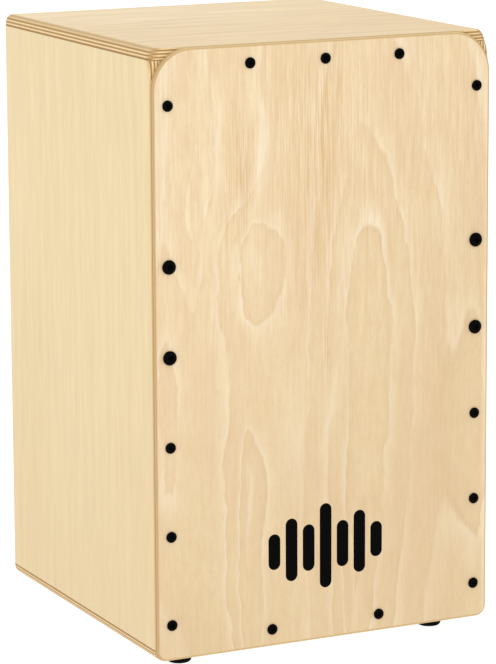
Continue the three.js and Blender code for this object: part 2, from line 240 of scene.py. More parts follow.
def eased_block(low, high, ease):
    """A sawn block with its twelve edges broken."""
    depths = round_depths(ease, 3)
    heights = [low.z + d for d in depths] + [high.z - d for d in reversed(depths)]
    rings = []
    for z in heights:
        inset = max(arc_inset(z - low.z, ease), arc_inset(high.z - z, ease))
        corner = max(ease - inset, 0.1 * ease)
        plan = outline(
            (low.x + inset, low.y + inset), (high.x - inset, high.y - inset), [corner] * 4, 3)
        rings.append([Vector((x, y, z)) for x, y in plan])
    return loft(rings)


# ---------------------------------------------------------------- box

def upright_loft(low, high, bottom_round, top_round, corners, extra=()):
    """A board lofted upwards. bottom_round and top_round are radii of its left and right edges.
    corners(z) gives the plan's radii: front left, front right, rear right, rear left."""
    depths = {0.0, *extra}
    depths |= {high.z - low.z - d for r in {bottom_round, EASE} for d in round_depths(r, 10)}
    depths |= {d for r in {top_round, EASE} for d in round_depths(r, 10)}
    rings = []
    for depth in sorted(depths, reverse=True):
        z = high.z - depth
        aside = max(arc_inset(depth, top_round), arc_inset(z - low.z, bottom_round))
        back = max(arc_inset(depth, EASE), arc_inset(z - low.z, EASE))
        radii = [max(radius - aside, EASE / 2) for radius in corners(z)]
        plan = outline((low.x + aside, low.y + back), (high.x - aside, high.y - back), radii)
        rings.append([Vector((x, y, z)) for x, y in plan])
    return loft(rings)


def front_corner(z):
    """Radius of the box's upright front edges: round beside the plate's top corners, sharp below."""
    above = z - TOP_LOW.z
    if above > 0:
        return FRONT_CORNER_RADIUS + above * FRONT_CORNER_GROWTH
    share = max(1 + above / FRONT_CORNER_TAPER, 0.0)
    return EASE + (FRONT_CORNER_RADIUS - EASE) * share ** 2


def make_boards():
    rear = REAR_CORNER_RADIUS
    top = upright_loft(
        TOP_LOW, TOP_HIGH, JOINT_EASE, LONG_EDGE_RADIUS,
        lambda z: [front_corner(z), front_corner(z), rear, rear])
    build("seat_board", top, seat_ply(), ["top_board"])
    bottom = upright_loft(
        BOTTOM_LOW, BOTTOM_HIGH, LONG_EDGE_RADIUS, JOINT_EASE, lambda z: [EASE, EASE, rear, rear])
    pilots = screw_bores("foot_screw", Z, BOTTOM_LOW.z, FOOT_PILOT_LENGTH)
    build("base_board", bottom, base_ply(), ["bottom_board"], [pilots])


def make_sides():
    taper = [FRONT_CORNER_TAPER * i / 10 for i in range(1, 11)]
    for side in SIDES:
        low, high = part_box(f"{side}_side")

        def corners(z, side=side):
            front, rear = front_corner(z), REAR_CORNER_RADIUS
            return [front, EASE, EASE, rear] if side == "left" else [EASE, front, rear, EASE]

        skin = upright_loft(low, high, JOINT_EASE, JOINT_EASE, corners, taper)
        build(f"{side}_wall", skin, side_ply(side), [f"{side}_side"])


def make_back():
    """The back panel, as a skin that runs round its edge and through the sound hole."""
    low, high = PANEL_LOW, PANEL_HIGH
    corners = [(low.x, low.z), (high.x, low.z), (high.x, high.z), (low.x, high.z)]
    angles = {2 * math.pi * i / 120 for i in range(120)}
    angles |= {math.atan2(z - SOUND_HOLE.z, x) % (2 * math.pi) for x, z in corners}
    angles = sorted(angles)

    def edge(inset, y):
        points = []
        for angle in angles:
            across, up = math.cos(angle), math.sin(angle)
            reach_x = (high.x if across > 0 else -low.x) / max(abs(across), 1e-9)
            reach_z = (high.z - SOUND_HOLE.z if up > 0 else SOUND_HOLE.z - low.z) / max(abs(up), 1e-9)
            reach = min(reach_x, reach_z)
            x = min(max(across * reach, low.x + inset), high.x - inset)
            z = min(max(SOUND_HOLE.z + up * reach, low.z + inset), high.z - inset)
            points.append(Vector((x, y, z)))
        return points

    def bore(depth, y):
        radius = SOUND_HOLE_RADIUS + arc_inset(depth, SOUND_HOLE_LIP)
        return [Vector((radius * math.cos(a), y, SOUND_HOLE.z + radius * math.sin(a))) for a in angles]

    depths = round_depths(SOUND_HOLE_LIP, 6)
    rings = [edge(EASE, low.y), edge(0, low.y + EASE), edge(0, high.y - EASE), edge(EASE, high.y)]
    rings += [bore(depth, high.y - depth) for depth in depths]
    rings += [bore(depth, low.y + depth) for depth in reversed(depths)]
    build("rear_panel", loft(rings, closed=True), panel_ply(), ["back_panel"])


def screw_nodes(prefix):
    """(name, lowest corner, highest corner, middle) of each CAD screw whose name starts so."""
    names = sorted(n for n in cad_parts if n.startswith(prefix))
    boxes = [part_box(name) for name in names]
    return [(name, low, high, (low + high) / 2) for name, (low, high) in zip(names, boxes)]


def screw_bores(prefix, axis, face, length):
    """Bores for the shanks of those screws, along an axis, from just outside a face."""
    bores = []
    for name, _, _, start in screw_nodes(prefix):
        start[axis] = face - OVERCUT
        shank = SCREWS[name.split("_screw")[0]]["shank"]
        bores.append(rod(start, axis, shank + BORE_CLEARANCE, length))
    return joined(bores)


def rail_end_bores():
    """For each screw in the rail's ends, a bore for its shank and a counterbore for its head."""
    size = SCREWS["rail_end"]
    reach = size["rise"] + COUNTERBORE_SPARE
    bores = []
    for _, low, high, middle in screw_nodes("rail_end_screw"):
        start = Vector((low.x - RAIL_BORE_MARGIN, middle.y, middle.z))
        length = high.x - low.x + 2 * RAIL_BORE_MARGIN
        bores.append(rod(start, X, size["shank"] + BORE_CLEARANCE, length))
        start.x = low.x - COUNTERBORE_OVERCUT if low.x < 0 else high.x - reach
        bores.append(rod(start, X, size["head"] + 2 * BORE_CLEARANCE, reach + COUNTERBORE_OVERCUT))
    return bores


def make_plate():
    low, high = PLATE_LOW, PLATE_HIGH
    radii = [PLATE_BOTTOM_RADIUS] * 2 + [PLATE_TOP_RADIUS] * 2
    sections = [(arc_inset(d, PLATE_EDGE_RADIUS), low.y + d) for d in round_depths(PLATE_EDGE_RADIUS, 10)]
    sections += [(arc_inset(d, EASE), high.y - d) for d in reversed(round_depths(EASE, 4))]
    rings = []
    for inset, y in sections:
        face = outline(
            (low.x + inset, low.z + inset), (high.x - inset, high.z - inset), [r - inset for r in radii], 16)
        rings.append([Vector((x, y, z)) for x, z in face])
    bores = screw_bores(PLATE_SCREWS, Y, low.y, high.y - low.y + 2 * OVERCUT)
    build("striking_plate", loft(rings), plate_ply(), ["front_plate"], [bores])


def make_batten(node, axis, cutters):
    block = eased_block(*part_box(node), BATTEN_EASE)
    build(f"{node}_batten", block, pine(axis, node), [node], cutters)


def make_battens():
    """Cleats, snare blocks and snare rail: sawn pine with broken edges, drilled where screws pass."""
    deep = screw_bores(PLATE_SCREWS, Y, PLATE_HIGH.y, PLATE_BORE_LENGTH)
    for row, cutters in (("front", [deep]), ("rear", [])):
        for place, axis in (("left", Z), ("right", Z), ("top", X), ("bottom", X)):
            make_batten(f"{row}_cleat_{place}", axis, cutters)
    end_bores = rail_end_bores()
    for side in SIDES:
        make_batten(f"snare_block_{side}", Z, [deep, *end_bores])
    pilots = screw_bores("clamp_screw", Y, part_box("snare_rail")[0].y, RAIL_PILOT_LENGTH)
    make_batten("snare_rail", X, [pilots, *end_bores])


# ---------------------------------------------------------------- screws

# Radius of the head, its rise above the seat, radius and length of the shank, and thread pitch
SCREWS = {
    "plate": dict(head=4.4 * MM, rise=2.2 * MM, shank=1.75 * MM, length=20 * MM, pitch=1.5 * MM),
    "rail": dict(head=5.7 * MM, rise=3 * MM, shank=2.5 * MM, length=40 * MM, pitch=2 * MM),
    "rail_end": dict(head=4 * MM, rise=2.6 * MM, shank=2.1 * MM, length=45 * MM, pitch=1.8 * MM),
    "clamp": dict(head=3 * MM, rise=1.7 * MM, shank=1.5 * MM, length=14 * MM, pitch=1.2 * MM),
    "foot": dict(head=4 * MM, rise=2.4 * MM, shank=2 * MM, length=14.5 * MM, pitch=1.7 * MM),
}
SCREW_SIDES = 40
RINGS_PER_THREAD = 8
THREAD_ROOT = 0.7  # radius between the threads, as a share of the shank's
THREAD_DEPTH = 0.3
POINT_LENGTH = 2.6  # length of the tapered point, in shank radii
DOME_STEPS = 12


def tooth(share):
    """Height of the thread across one pitch, 0 to 1."""
    return max(0.0, 1 - abs(share - 0.5) / 0.3)


def screw_rings(head, rise, shank, length, pitch):
    """Rings of a wood screw along +Y, from its point to the top of its dome. The seat is at y = 0."""
    rings = []
    threaded = length - 1.5 * shank
    steps = int(threaded / pitch * RINGS_PER_THREAD)
    for i in range(steps + 1):
        y = length - threaded * i / steps
        taper = min(1.0, (length - y) / (POINT_LENGTH * shank) + 0.06)
        ring = []
        for j in range(SCREW_SIDES):
            turn = j / SCREW_SIDES
            height = tooth((y / pitch - turn) % 1.0) if i < steps else 0.0
            radius = shank * taper * (THREAD_ROOT + THREAD_DEPTH * height)
            angle = 2 * math.pi * turn
            ring.append(Vector((radius * math.sin(angle), y, radius * math.cos(angle))))
        rings.append(ring)
    rim = 0.4 * rise
    edge = 0.15 * rise
    profile = [(shank * 1.2, shank * 0.98), (0, shank), (0, head - edge)]
    profile += [(-0.3 * edge, head - 0.3 * edge), (-edge, head)]
    for i in range(DOME_STEPS + 1):
        angle = math.pi / 2 * min(i / DOME_STEPS, 0.985)
        profile.append((-rim - (rise - rim) * math.sin(angle), head * math.cos(angle)))
    return rings + [circle((0, y, 0), radius, Y, SCREW_SIDES) for y, radius in profile]


def cross_recess(head, rise):
    """A tapered cross, to be taken out of a dome."""
    rings = []
    for y, size in ((-rise - OVERCUT, 1.15), (-rise * 0.42, 0.72), (-rise * 0.2, 0.25)):
        arm = 0.56 * head * size
        web = 0.12 * head * size
        points = []
        for quarter in range(4):
            turn = Matrix.Rotation(quarter * math.pi / 2, 3, "Y")
            for u, v in ((web, web), (arm, web), (arm, -web)):
                points.append(turn @ Vector((u, 0, v)) + Vector((0, y, 0)))
        rings.append(points)
    return loft(rings)


def hex_recess(head, rise):
    """A hexagon socket with a coned floor, to be taken out of a dome."""
    rings = []
    for y, radius in ((-rise - OVERCUT, 0.43), (-rise * 0.3, 0.43), (-rise * 0.12, 0.1)):
        rings.append(circle((0, y, 0), head * radius, Y, 6))
    return loft(rings)


def screw_mesh(kind):
    size = SCREWS[kind]
    recess = hex_recess if kind == "rail" else cross_recess
    whole = mesh_of(f"{kind}_screw", *loft(screw_rings(**size)))
    return carve(whole, [recess(size["head"], size["rise"])])


def make_screws():
    """Each kind's mesh is shared by its screws, and each screw stops at its own turn."""
    black, zinc = black_oxide(), zinc_steel("zinc_screw")
    turns = random.Random(7)
    for kind in SCREWS:
        outside = kind in ("plate", "rail")
        material, slot = (black, "black_screw") if outside else (zinc, "zinc_steel")
        mesh = screw_mesh(kind)
        rise = SCREWS[kind]["rise"]
        for node, low, high, middle in screw_nodes(f"{kind}_screw"):
            place = Matrix.Rotation(turns.uniform(0, 2 * math.pi), 4, "Y")
            if kind == "foot":
                aim = Matrix.Rotation(math.pi / 2, 4, "X")
                seat = Vector((middle.x, middle.y, low.z + rise))
            elif kind == "rail_end":
                outward = 1 if middle.x > 0 else -1
                aim = Matrix.Rotation(outward * math.pi / 2, 4, "Z")
                seat = Vector(((high.x - rise) if outward > 0 else (low.x + rise), middle.y, middle.z))
            else:
                aim = Matrix.Identity(4)
                seat = Vector((middle.x, low.y + rise, middle.z))
            show(f"{node}_threaded", mesh, material, [node], Matrix.Translation(seat) @ aim @ place)


# ---------------------------------------------------------------- snares

STRANDS = 10
STRAND_PITCH = 4.2 * MM
COIL_RADIUS = 1.1 * MM
WIRE_RADIUS = 0.22 * MM
COIL_PITCH = 2 * MM
COIL_STEPS = 10
WIRE_SIDES = 5
END_PLATE_HEIGHT = 15 * MM
END_PLATE_THICK = 1 * MM
END_PLATE_EASE = 0.25 * MM
STRAND_FOOT_RISE = 1 * MM  # start of a strand above the lower edge of its end plate
STRAND_TIP_DROP = 0.2 * MM
BEAD_PLACE = Vector((0, 0.3 * MM, 1.6 * MM))  # from the start of its strand
BEAD_RADIUS = 1.35 * MM
BEAD_HALF_HEIGHT = 1.9 * MM
CLAMP_PAD = 7 * MM
CLAMP_THICK = 2 * MM
CLAMP_BEND = 0.8 * MM
CLAMP_BEVEL = 0.2 * MM


def coil(foot, tip):
    """One round-wire coil between two points."""
    axis = (tip - foot).normalized()
    side = axis.cross(unit(Y)).normalized()
    other = axis.cross(side)
    length = (tip - foot).length
    radius = COIL_RADIUS - WIRE_RADIUS
    steps = int(length / COIL_PITCH * COIL_STEPS)
    slope = COIL_PITCH / (2 * math.pi * radius)
    rings = []
    for i in range(steps + 1):
        angle = 2 * math.pi * i / COIL_STEPS
        outward = side * math.cos(angle) + other * math.sin(angle)
        around = other * math.cos(angle) - side * math.sin(angle)
        lift = (axis - around * slope).normalized()
        centre = foot + axis * (length * i / steps) + outward * radius
        spokes = [2 * math.pi * j / WIRE_SIDES for j in range(WIRE_SIDES)]
        rings.append([
            centre + (outward * math.cos(s) + lift * math.sin(s)) * WIRE_RADIUS for s in spokes])
    return loft(rings)


def solder_bead(centre, radius, height):
    """A flattened drop that holds a strand to its end plate."""
    rings = []
    for i in range(7):
        angle = math.pi * (i + 0.15) / 6.3
        ring = circle(centre, radius * math.sin(angle), Z, 12)
        rings.append([p + unit(Z) * (height * math.cos(angle)) for p in ring])
    return loft(rings)


def clamp_outline(low, high):
    """Bridge seen from above, and the notch that leaves feet at both ends, with bends rounded."""
    bend = CLAMP_BEND
    half = (high.x - low.x) / 2
    middle = (low.x + high.x) / 2
    foot = half - CLAMP_PAD
    inner_y = low.y + CLAMP_THICK
    bridge = outline((middle - half, low.y), (middle + half, high.y), [bend, bend, 0.3 * MM, 0.3 * MM], 4)
    angles = [math.pi / 2 * i / 4 for i in range(5)]
    corner = [(bend * (1 - math.cos(a)), inner_y + bend * (1 - math.sin(a))) for a in angles]
    open_y = high.y + OVERCUT
    notch = [(middle - foot, open_y)]
    notch += [(middle - foot + aside, y) for aside, y in corner]
    notch += [(middle + foot - aside, y) for aside, y in reversed(corner)]
    return bridge, [*notch, (middle + foot, open_y)]


def make_snares():
    wire, plate_steel = spring_steel(), zinc_steel("snare_plate")
    for side in SIDES:
        low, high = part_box(f"snare_wires_{side}")
        middle_x = (low.x + high.x) / 2
        foot_y = high.y - END_PLATE_THICK - 0.6 * COIL_RADIUS
        tip_y = low.y + COIL_RADIUS
        strands = []
        beads = []
        for i in range(STRANDS):
            x = middle_x + (i - (STRANDS - 1) / 2) * STRAND_PITCH
            foot = Vector((x, foot_y, low.z + STRAND_FOOT_RISE))
            strands.append(coil(foot, Vector((x, tip_y, high.z - STRAND_TIP_DROP))))
            beads.append(solder_bead(foot + BEAD_PLACE, BEAD_RADIUS, BEAD_HALF_HEIGHT))
        nodes = [f"snare_wires_{side}"]
        build(f"snare_coils_{side}", joined(strands), wire, nodes, sharp_deg=60)
        plate_low = Vector((low.x, high.y - END_PLATE_THICK, low.z))
        plate_high = Vector((high.x, high.y, low.z + END_PLATE_HEIGHT))
        end_plate = eased_block(plate_low, plate_high, END_PLATE_EASE)
        for name, shape in (("snare_end_plate", end_plate), ("snare_solder", joined(beads))):
            build(f"{name}_{side}", shape, plate_steel, nodes)
        make_clamp(side, plate_steel)


def upright_prism(points, bottom, top):
    return loft([[Vector((x, y, z)) for x, y in points] for z in (bottom, top)])


def make_clamp(side, material):
    low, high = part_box(f"snare_clamp_{side}")
    bridge, notch = clamp_outline(low, high)
    body = upright_prism(bridge, low.z, high.z)
    gap = upright_prism(notch, low.z - OVERCUT, high.z + OVERCUT)
    holes = screw_bores(f"clamp_screw_{side}", Y, low.y, CLAMP_BORE_LENGTH)
    nodes = [f"snare_clamp_{side}"]
    piece = build(f"snare_clamp_{side}_bridge", body, material, nodes, [gap, holes])
    bevel = piece.modifiers.new("bevel", "BEVEL")
    bevel.width = CLAMP_BEVEL
    bevel.segments = 2
    bevel.angle_limit = math.radians(50)
    piece.modifiers.move(1, 0)  # before the weighted normals


PAD_CUTS = 15
PAD_CROWN = 0.06
PAD_PINCH = 0.06


def make_damper():
    """Felt pad: a soft block, crowned a little on its faces, pinched at its corners."""
    low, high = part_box("damper_pad")
    middle, half = (low + high) / 2, (high - low) / 2
    pad = bmesh.new()
    bmesh.ops.create_cube(pad, size=2)
    bmesh.ops.subdivide_edges(pad, edges=pad.edges, cuts=PAD_CUTS, use_grid_fill=True)
    for vert in pad.verts:
        p = vert.co
        aside = [p[(i + 1) % 3] ** 2 + p[(i + 2) % 3] ** 2 for i in range(3)]
        squared = Vector([p[i] * (1 - PAD_CROWN * aside[i] ** 1.5 / 2.83) for i in range(3)])
        corner = max(0.0, sorted(abs(c) for c in p)[1] - 0.8) / 0.2
        squared *= 1 - PAD_PINCH * corner * max(abs(c) for c in p) ** 8
        fuzz = solid_noise.noise(squared * 9) * 0.012 + solid_noise.noise(squared * 31) * 0.008
        squared *= 0.985 + fuzz
        vert.co = middle + Vector([squared[i] * half[i] for i in range(3)])
    mesh = bpy.data.meshes.new("felt_pad")
    pad.to_mesh(mesh)
    pad.free()
    piece = show("felt_pad", mesh, felt(), ["damper_pad"], sharp_deg=80)


# ---------------------------------------------------------------- feet and mark

FOOT_BORE = 2.4 * MM
FOOT_RECESS = 4.8 * MM
FOOT_RECESS_DEPTH = 6 * MM
FOOT_EDGE = 2.6 * MM
WASHER_BORE = 2.4 * MM
WASHER_EASE = 0.15 * MM


def lathe(profile, centre, sides=64):
    """A closed (radius, height) profile turned about an upright axis."""
    return loft([circle((centre.x, centre.y, h), r, Z, sides) for r, h in profile], closed=True)


def make_feet():
    black, zinc = rubber(), zinc_steel("washer")
    for row in ("front", "rear"):
        for side in SIDES:
            name = f"foot_{row}_{side}"
            low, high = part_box(name)
            middle = (low + high) / 2
            radius = (high.x - low.x) / 2
            floor = low.z + FOOT_RECESS_DEPTH
            profile = [(FOOT_BORE, high.z), (FOOT_BORE, floor), (FOOT_RECESS, floor)]
            lip = reversed(round_depths(EASE, 4))
            profile += [(FOOT_RECESS + arc_inset(d, EASE), low.z + d) for d in lip]
            profile += [(radius - arc_inset(d, FOOT_EDGE), low.z + d) for d in round_depths(FOOT_EDGE, 12)]
            profile += [(radius - arc_inset(d, EASE), high.z - d) for d in reversed(round_depths(EASE, 4))]
            build(f"{name}_rubber", lathe(profile, middle), black, [name])
            name = f"foot_washer_{row}_{side}"
            low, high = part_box(name)
            outer, inner, ease = (high.x - low.x) / 2, WASHER_BORE, WASHER_EASE
            profile = [(inner, high.z - ease), (inner, low.z + ease), (inner + ease, low.z)]
            profile += [(outer - arc_inset(d, ease), low.z + d) for d in round_depths(ease, 4)]
            profile += [(outer - arc_inset(d, ease), high.z - d) for d in reversed(round_depths(ease, 4))]
            profile.append((inner + ease, high.z))
            build(f"{name}_ring", lathe(profile, middle), zinc, [name])


# The print low on the plate: a plain row of sound-level bars, heights as shares of the tallest
BARS = (0.42, 0.74, 0.55, 1.0, 0.55, 0.74, 0.42)
BAR_PITCH = 15.4 * MM
BAR_WIDTH = 10.6 * MM
TALLEST_BAR = 70 * MM
MARK_HEIGHT_SHARE = 0.16  # height of the row's middle on the plate
INK_RISE = 0.05 * MM
INK_SINK = 0.01 * MM  # how far the print starts behind the plate's face
INK_EASE = 0.04 * MM


def make_mark():
    middle_z = PLATE_LOW.z + (PLATE_HIGH.z - PLATE_LOW.z) * MARK_HEIGHT_SHARE
    bars = []
    for i, share in enumerate(BARS):
        x = (i - (len(BARS) - 1) / 2) * BAR_PITCH
        half = share * TALLEST_BAR / 2
        rings = []
        for inset, rise in ((0, -INK_SINK), (0, INK_RISE / 2), (INK_EASE, INK_RISE)):
            y = FRONT_Y - rise
            radius = BAR_WIDTH / 2 - inset
            low = (x - radius, middle_z - half + inset)
            high = (x + radius, middle_z + half - inset)
            shape = outline(low, high, [radius * 0.999] * 4, 12)
            rings.append([Vector((u, y, v)) for u, v in shape])
        bars.append(loft(rings))
    build("level_bars_print", joined(bars), ink(), [])


# ---------------------------------------------------------------- materials

def srgb(red, green, blue):
    """A colour of 0 to 255 as the linear colour that shaders take."""
    channels = []
    for value in (red, green, blue):
        share = value / 255
        channels.append(share / 12.92 if share <= 0.04045 else ((share + 0.055) / 1.055) ** 2.4)
    return (*channels, 1.0)


def grey(share):
    return (share, share, share, 1.0)


class Shader:
    """One node material, with short calls that add its nodes."""

    def __init__(self, name):
        self.material = bpy.data.materials.new(name)
        self.material.use_nodes = True
        self.nodes = self.material.node_tree.nodes
        self.links = self.material.node_tree.links
        self.nodes.clear()
        place = self.add("ShaderNodeTexCoord", {})
        self.position = place.outputs["Object"]
        self.normal = place.outputs["Normal"]

    def add(self, kind, inputs, **settings):
        node = self.nodes.new(kind)
        for setting, value in settings.items():
            setattr(node, setting, value)
        for socket, value in inputs.items():
            if isinstance(value, bpy.types.NodeSocket):
                self.links.new(value, node.inputs[socket])
            else:
                node.inputs[socket].default_value = value
        return node

    def math(self, operation, *values):
        return self.add("ShaderNodeMath", dict(enumerate(values)), operation=operation).outputs[0]

    def vector(self, operation, *values):
        node = self.add("ShaderNodeVectorMath", dict(enumerate(values)), operation=operation)
        return node.outputs["Value" if operation in ("DOT_PRODUCT", "LENGTH") else "Vector"]

    def scaled(self, factor):
        return self.vector("MULTIPLY", self.position, (factor, factor, factor))

    def part(self, vector, axis):
        return self.add("ShaderNodeSeparateXYZ", {0: vector}).outputs[axis]

    def noise(self, vector, detail=2.0, roughness=0.5):
        inputs = {"Vector": vector, "Scale": 1.0, "Detail": detail, "Roughness": roughness}
        return self.add("ShaderNodeTexNoise", inputs).outputs[0]

    def drawn_noise(self, axis, density, draw, seed, detail=2.0, roughness=0.5):
        """Noise of so many cells per metre, drawn out along one axis by a factor."""
        scale = [density] * 3
        scale[axis] = density / draw
        moved = self.vector("MULTIPLY_ADD", self.position, scale, (seed, 1.7 * seed, 2.3 * seed))
        return self.noise(moved, detail, roughness)

    def span(self, value, low, high, to_low=0.0, to_high=1.0):
        """value from low to high, smoothly mapped to to_low to to_high."""
        inputs = {0: value, 1: low, 2: high, 3: to_low, 4: to_high}
        return self.add("ShaderNodeMapRange", inputs, interpolation_type="SMOOTHSTEP").outputs[0]

    def swing(self, noise, reach):
        """Noise about 0 instead of about its middle, scaled."""
        return self.math("MULTIPLY", self.math("SUBTRACT", noise, 0.5), reach)

    def ramp(self, value, stops, interpolation="LINEAR"):
        """A grey level for each value, from (value, level) stops."""
        node = self.add("ShaderNodeValToRGB", {0: value})
        node.color_ramp.interpolation = interpolation
        points = node.color_ramp.elements
        while len(points) < len(stops):
            points.new(0.5)
        for point, (place, level) in zip(points, stops):
            point.position = place
            point.color = grey(level)
        return node.outputs[0]

    def mix(self, factor, a, b, blend="MIX"):
        node = self.add("ShaderNodeMix", {0: factor, 6: a, 7: b}, data_type="RGBA", blend_type=blend)
        return node.outputs[2]

    def tinted(self, colour, amount, tone):
        """colour times tone where amount is 1, and unchanged where it is 0."""
        return self.vector("MULTIPLY", colour, self.mix(amount, grey(1), tone))

    def surface(self, colour, roughness, height=None, relief=0.0, **fixed):
        inputs = {"Base Color": colour, "Roughness": roughness}
        inputs.update({name.replace("_", " "): value for name, value in fixed.items()})
        if height is not None:
            bump = self.add("ShaderNodeBump", {"Strength": 1.0, "Distance": relief, "Height": height})
            inputs["Normal"] = bump.outputs[0]
        shader = self.add("ShaderNodeBsdfPrincipled", inputs)
        self.add("ShaderNodeOutputMaterial", {0: shader.outputs[0]})
        return self.material


# Birch: face veneer, cut edges along the grain and across it, and the glue between layers
BIRCH_FACE = srgb(226, 204, 159)
SEAT_FACE = srgb(228, 200, 152)
BIRCH_SIDE_GRAIN = srgb(234, 206, 154)
BIRCH_END_GRAIN = srgb(170, 130, 72)
PLATE_SIDE_GRAIN = srgb(226, 197, 145)
PLATE_END_GRAIN = srgb(208, 175, 124)
ROUNDING_SHADE = (0.84, 0.80, 0.75, 1.0)  # painted shade: light kept on a cut edge where it rounds over towards the face
# brown of the glue between layers; it also paints the arris line, which is partly painted shade
GLUE_AND_SHADE = srgb(118, 82, 44)
GLUE_HALF = 0.08 * MM
LAYER_SWAY = 0.25 * MM
PATCH_TINT = (0.985, 0.975, 0.955, 1.0)
# painted shade: the sides darker towards the bottom
SIDE_LOW_SHADE = (0.95, 0.925, 0.90, 1.0)
# painted sheen: the seat paler and bluer towards the rear
SEAT_REAR_SHEEN = (1.06, 1.095, 1.16, 1.0)
# painted shade: the seat darker and yellower towards the right
SEAT_RIGHT_SHADE = (0.985, 0.96, 0.90, 1.0)


def plain_face(shader, axis, seed, colour, contrast):
    """Quiet straight-grained veneer: fine fibre, pores, soft bands and faint patches."""
    fibre = shader.drawn_noise(axis, 900, 36, seed, detail=4, roughness=0.65)
    band = shader.drawn_noise(axis, 120, 14, seed + 3, detail=2)
    patch = shader.drawn_noise(axis, 9, 2.5, seed + 5, detail=1)
    pores = shader.span(shader.drawn_noise(axis, 1500, 7, seed + 7, detail=1), 0.60, 0.75)
    level = shader.math("ADD", shader.swing(fibre, 0.8), shader.swing(band, 0.5))
    level = shader.math("MULTIPLY_ADD", pores, -0.12, level)
    level = shader.math("MULTIPLY_ADD", level, contrast, 1.0)
    shaded = shader.vector("MULTIPLY", level, colour[:3])
    return shader.tinted(shaded, shader.span(patch, 0.35, 0.65), PATCH_TINT), fibre


def plywood(name, depth_axis, outer, inward, plies, grain, cross, face, roughness=0.5,
            edge_tones=(BIRCH_SIDE_GRAIN, BIRCH_END_GRAIN), arris=0.0):
    """Plywood, as layers inside a solid. grain is the outer layers' direction and cross the others'.
    A layer looks brown where its fibres end in the surface. face(shader) gives (colour, fibre).
    edge_tones are the cut edges' colours along the grain and end-on, and arris is the strength of a
    dark line where the flat edge turns into its rounding: partly the darker cut ply there, partly painted
    shade of the joint beside it."""
    shader = Shader(name)
    thickness = sum(plies)
    sway = shader.swing(shader.noise(shader.scaled(60.0), detail=2), LAYER_SWAY)
    place = shader.part(shader.position, depth_axis)
    depth = shader.math("MULTIPLY", shader.math("SUBTRACT", place, outer), inward)
    share = shader.math("DIVIDE", shader.math("ADD", depth, sway), thickness)

    cuts = [sum(plies[:i]) / thickness for i in range(len(plies))]
    odd = shader.ramp(share, [(cut, i % 2) for i, cut in enumerate(cuts)], "CONSTANT")
    half = GLUE_HALF / thickness
    glue_stops = [(0.0, 0)]
    for cut in cuts[1:]:
        glue_stops += [(cut - half, 0), (cut, 1), (cut + half, 0)]
    glue = shader.ramp(share, glue_stops)

    flat = [1.0, 1.0, 1.0]
    flat[depth_axis] = 0.0
    sideways = shader.vector("NORMALIZE", shader.vector("MULTIPLY", shader.normal, flat))
    outer_end = shader.math("ABSOLUTE", shader.part(shader.normal, grain))
    core_end = shader.math("ABSOLUTE", shader.part(sideways, cross))
    end_on = shader.span(shader.mix(odd, outer_end, core_end), 0.15, 0.9)
    facing = shader.math("ABSOLUTE", shader.part(shader.normal, depth_axis))
    cut_open = shader.span(facing, 0.995, 0.97)

    along = shader.drawn_noise(grain, 1600, 30, 11.0, detail=2)
    across = shader.drawn_noise(cross, 1600, 30, 17.0, detail=2)
    strand = shader.mix(odd, along, across)
    edge = shader.mix(end_on, *edge_tones)
    edge = shader.mix(shader.span(strand, 0.3, 0.7, 0.12, 0.0), edge, GLUE_AND_SHADE)
    edge = shader.mix(shader.math("MULTIPLY", glue, 0.35), edge, GLUE_AND_SHADE)
    turn = shader.ramp(facing, [(0.08, 0), (0.25, 1), (0.45, 1), (0.6, 0)])
    # partly painted shade: a dark line where the flat edge turns into its rounding
    edge = shader.mix(shader.math("MULTIPLY", turn, arris), edge, GLUE_AND_SHADE)
    # painted shade on the rounding of a cut edge
    edge = shader.tinted(edge, shader.span(facing, 0.45, 0.9), ROUNDING_SHADE)
    face_colour, fibre = face(shader)
    colour = shader.mix(cut_open, face_colour, edge)
    rough = shader.span(cut_open, 0.0, 1.0, roughness, 0.62)
    height = shader.mix(cut_open, fibre, strand)
    return shader.surface(colour, rough, height, 0.02 * MM, Specular_IOR_Level=0.4)


def side_ply(side):
    low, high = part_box(f"{side}_side")
    outer, inward = (low.x, 1) if side == "left" else (high.x, -1)
    seed = 2.0 if side == "left" else 9.0

    def face(shader):
        colour, fibre = plain_face(shader, Z, seed, BIRCH_FACE, 0.36)
        # painted shade, darker towards the bottom
        shade_share = shader.span(shader.part(shader.position, Z), 0.35, 0.02)
        return shader.tinted(colour, shade_share, SIDE_LOW_SHADE), fibre

    return plywood(f"{side}_ply", X, outer, inward, BOARD_PLIES, Z, Y, face)


def seat_ply():
    def face(shader):
        colour, fibre = plain_face(shader, X, 4.0, SEAT_FACE, 0.9)
        # painted sheen, paler and bluer towards the rear
        sheen_share = shader.span(shader.part(shader.position, Y), -0.03, 0.10)
        colour = shader.tinted(colour, sheen_share, SEAT_REAR_SHEEN)
        # painted shade, darker towards the right
        shade_share = shader.span(shader.part(shader.position, X), -0.02, 0.13)
        return shader.tinted(colour, shade_share, SEAT_RIGHT_SHADE), fibre

    return plywood("seat_ply", Z, TOP_HIGH.z, -1, BOARD_PLIES, X, Y, face, 0.42)


def base_ply():
    return plywood("base_ply", Z, BOTTOM_LOW.z, 1, BOARD_PLIES, X, Y,
                   lambda shader: plain_face(shader, X, 6.0, BIRCH_FACE, 0.5))


def panel_ply():
    return plywood("panel_ply", Y, PANEL_HIGH.y, -1, PANEL_PLIES, Z, X,
                   lambda shader: plain_face(shader, Z, 13.0, BIRCH_FACE, 0.55))


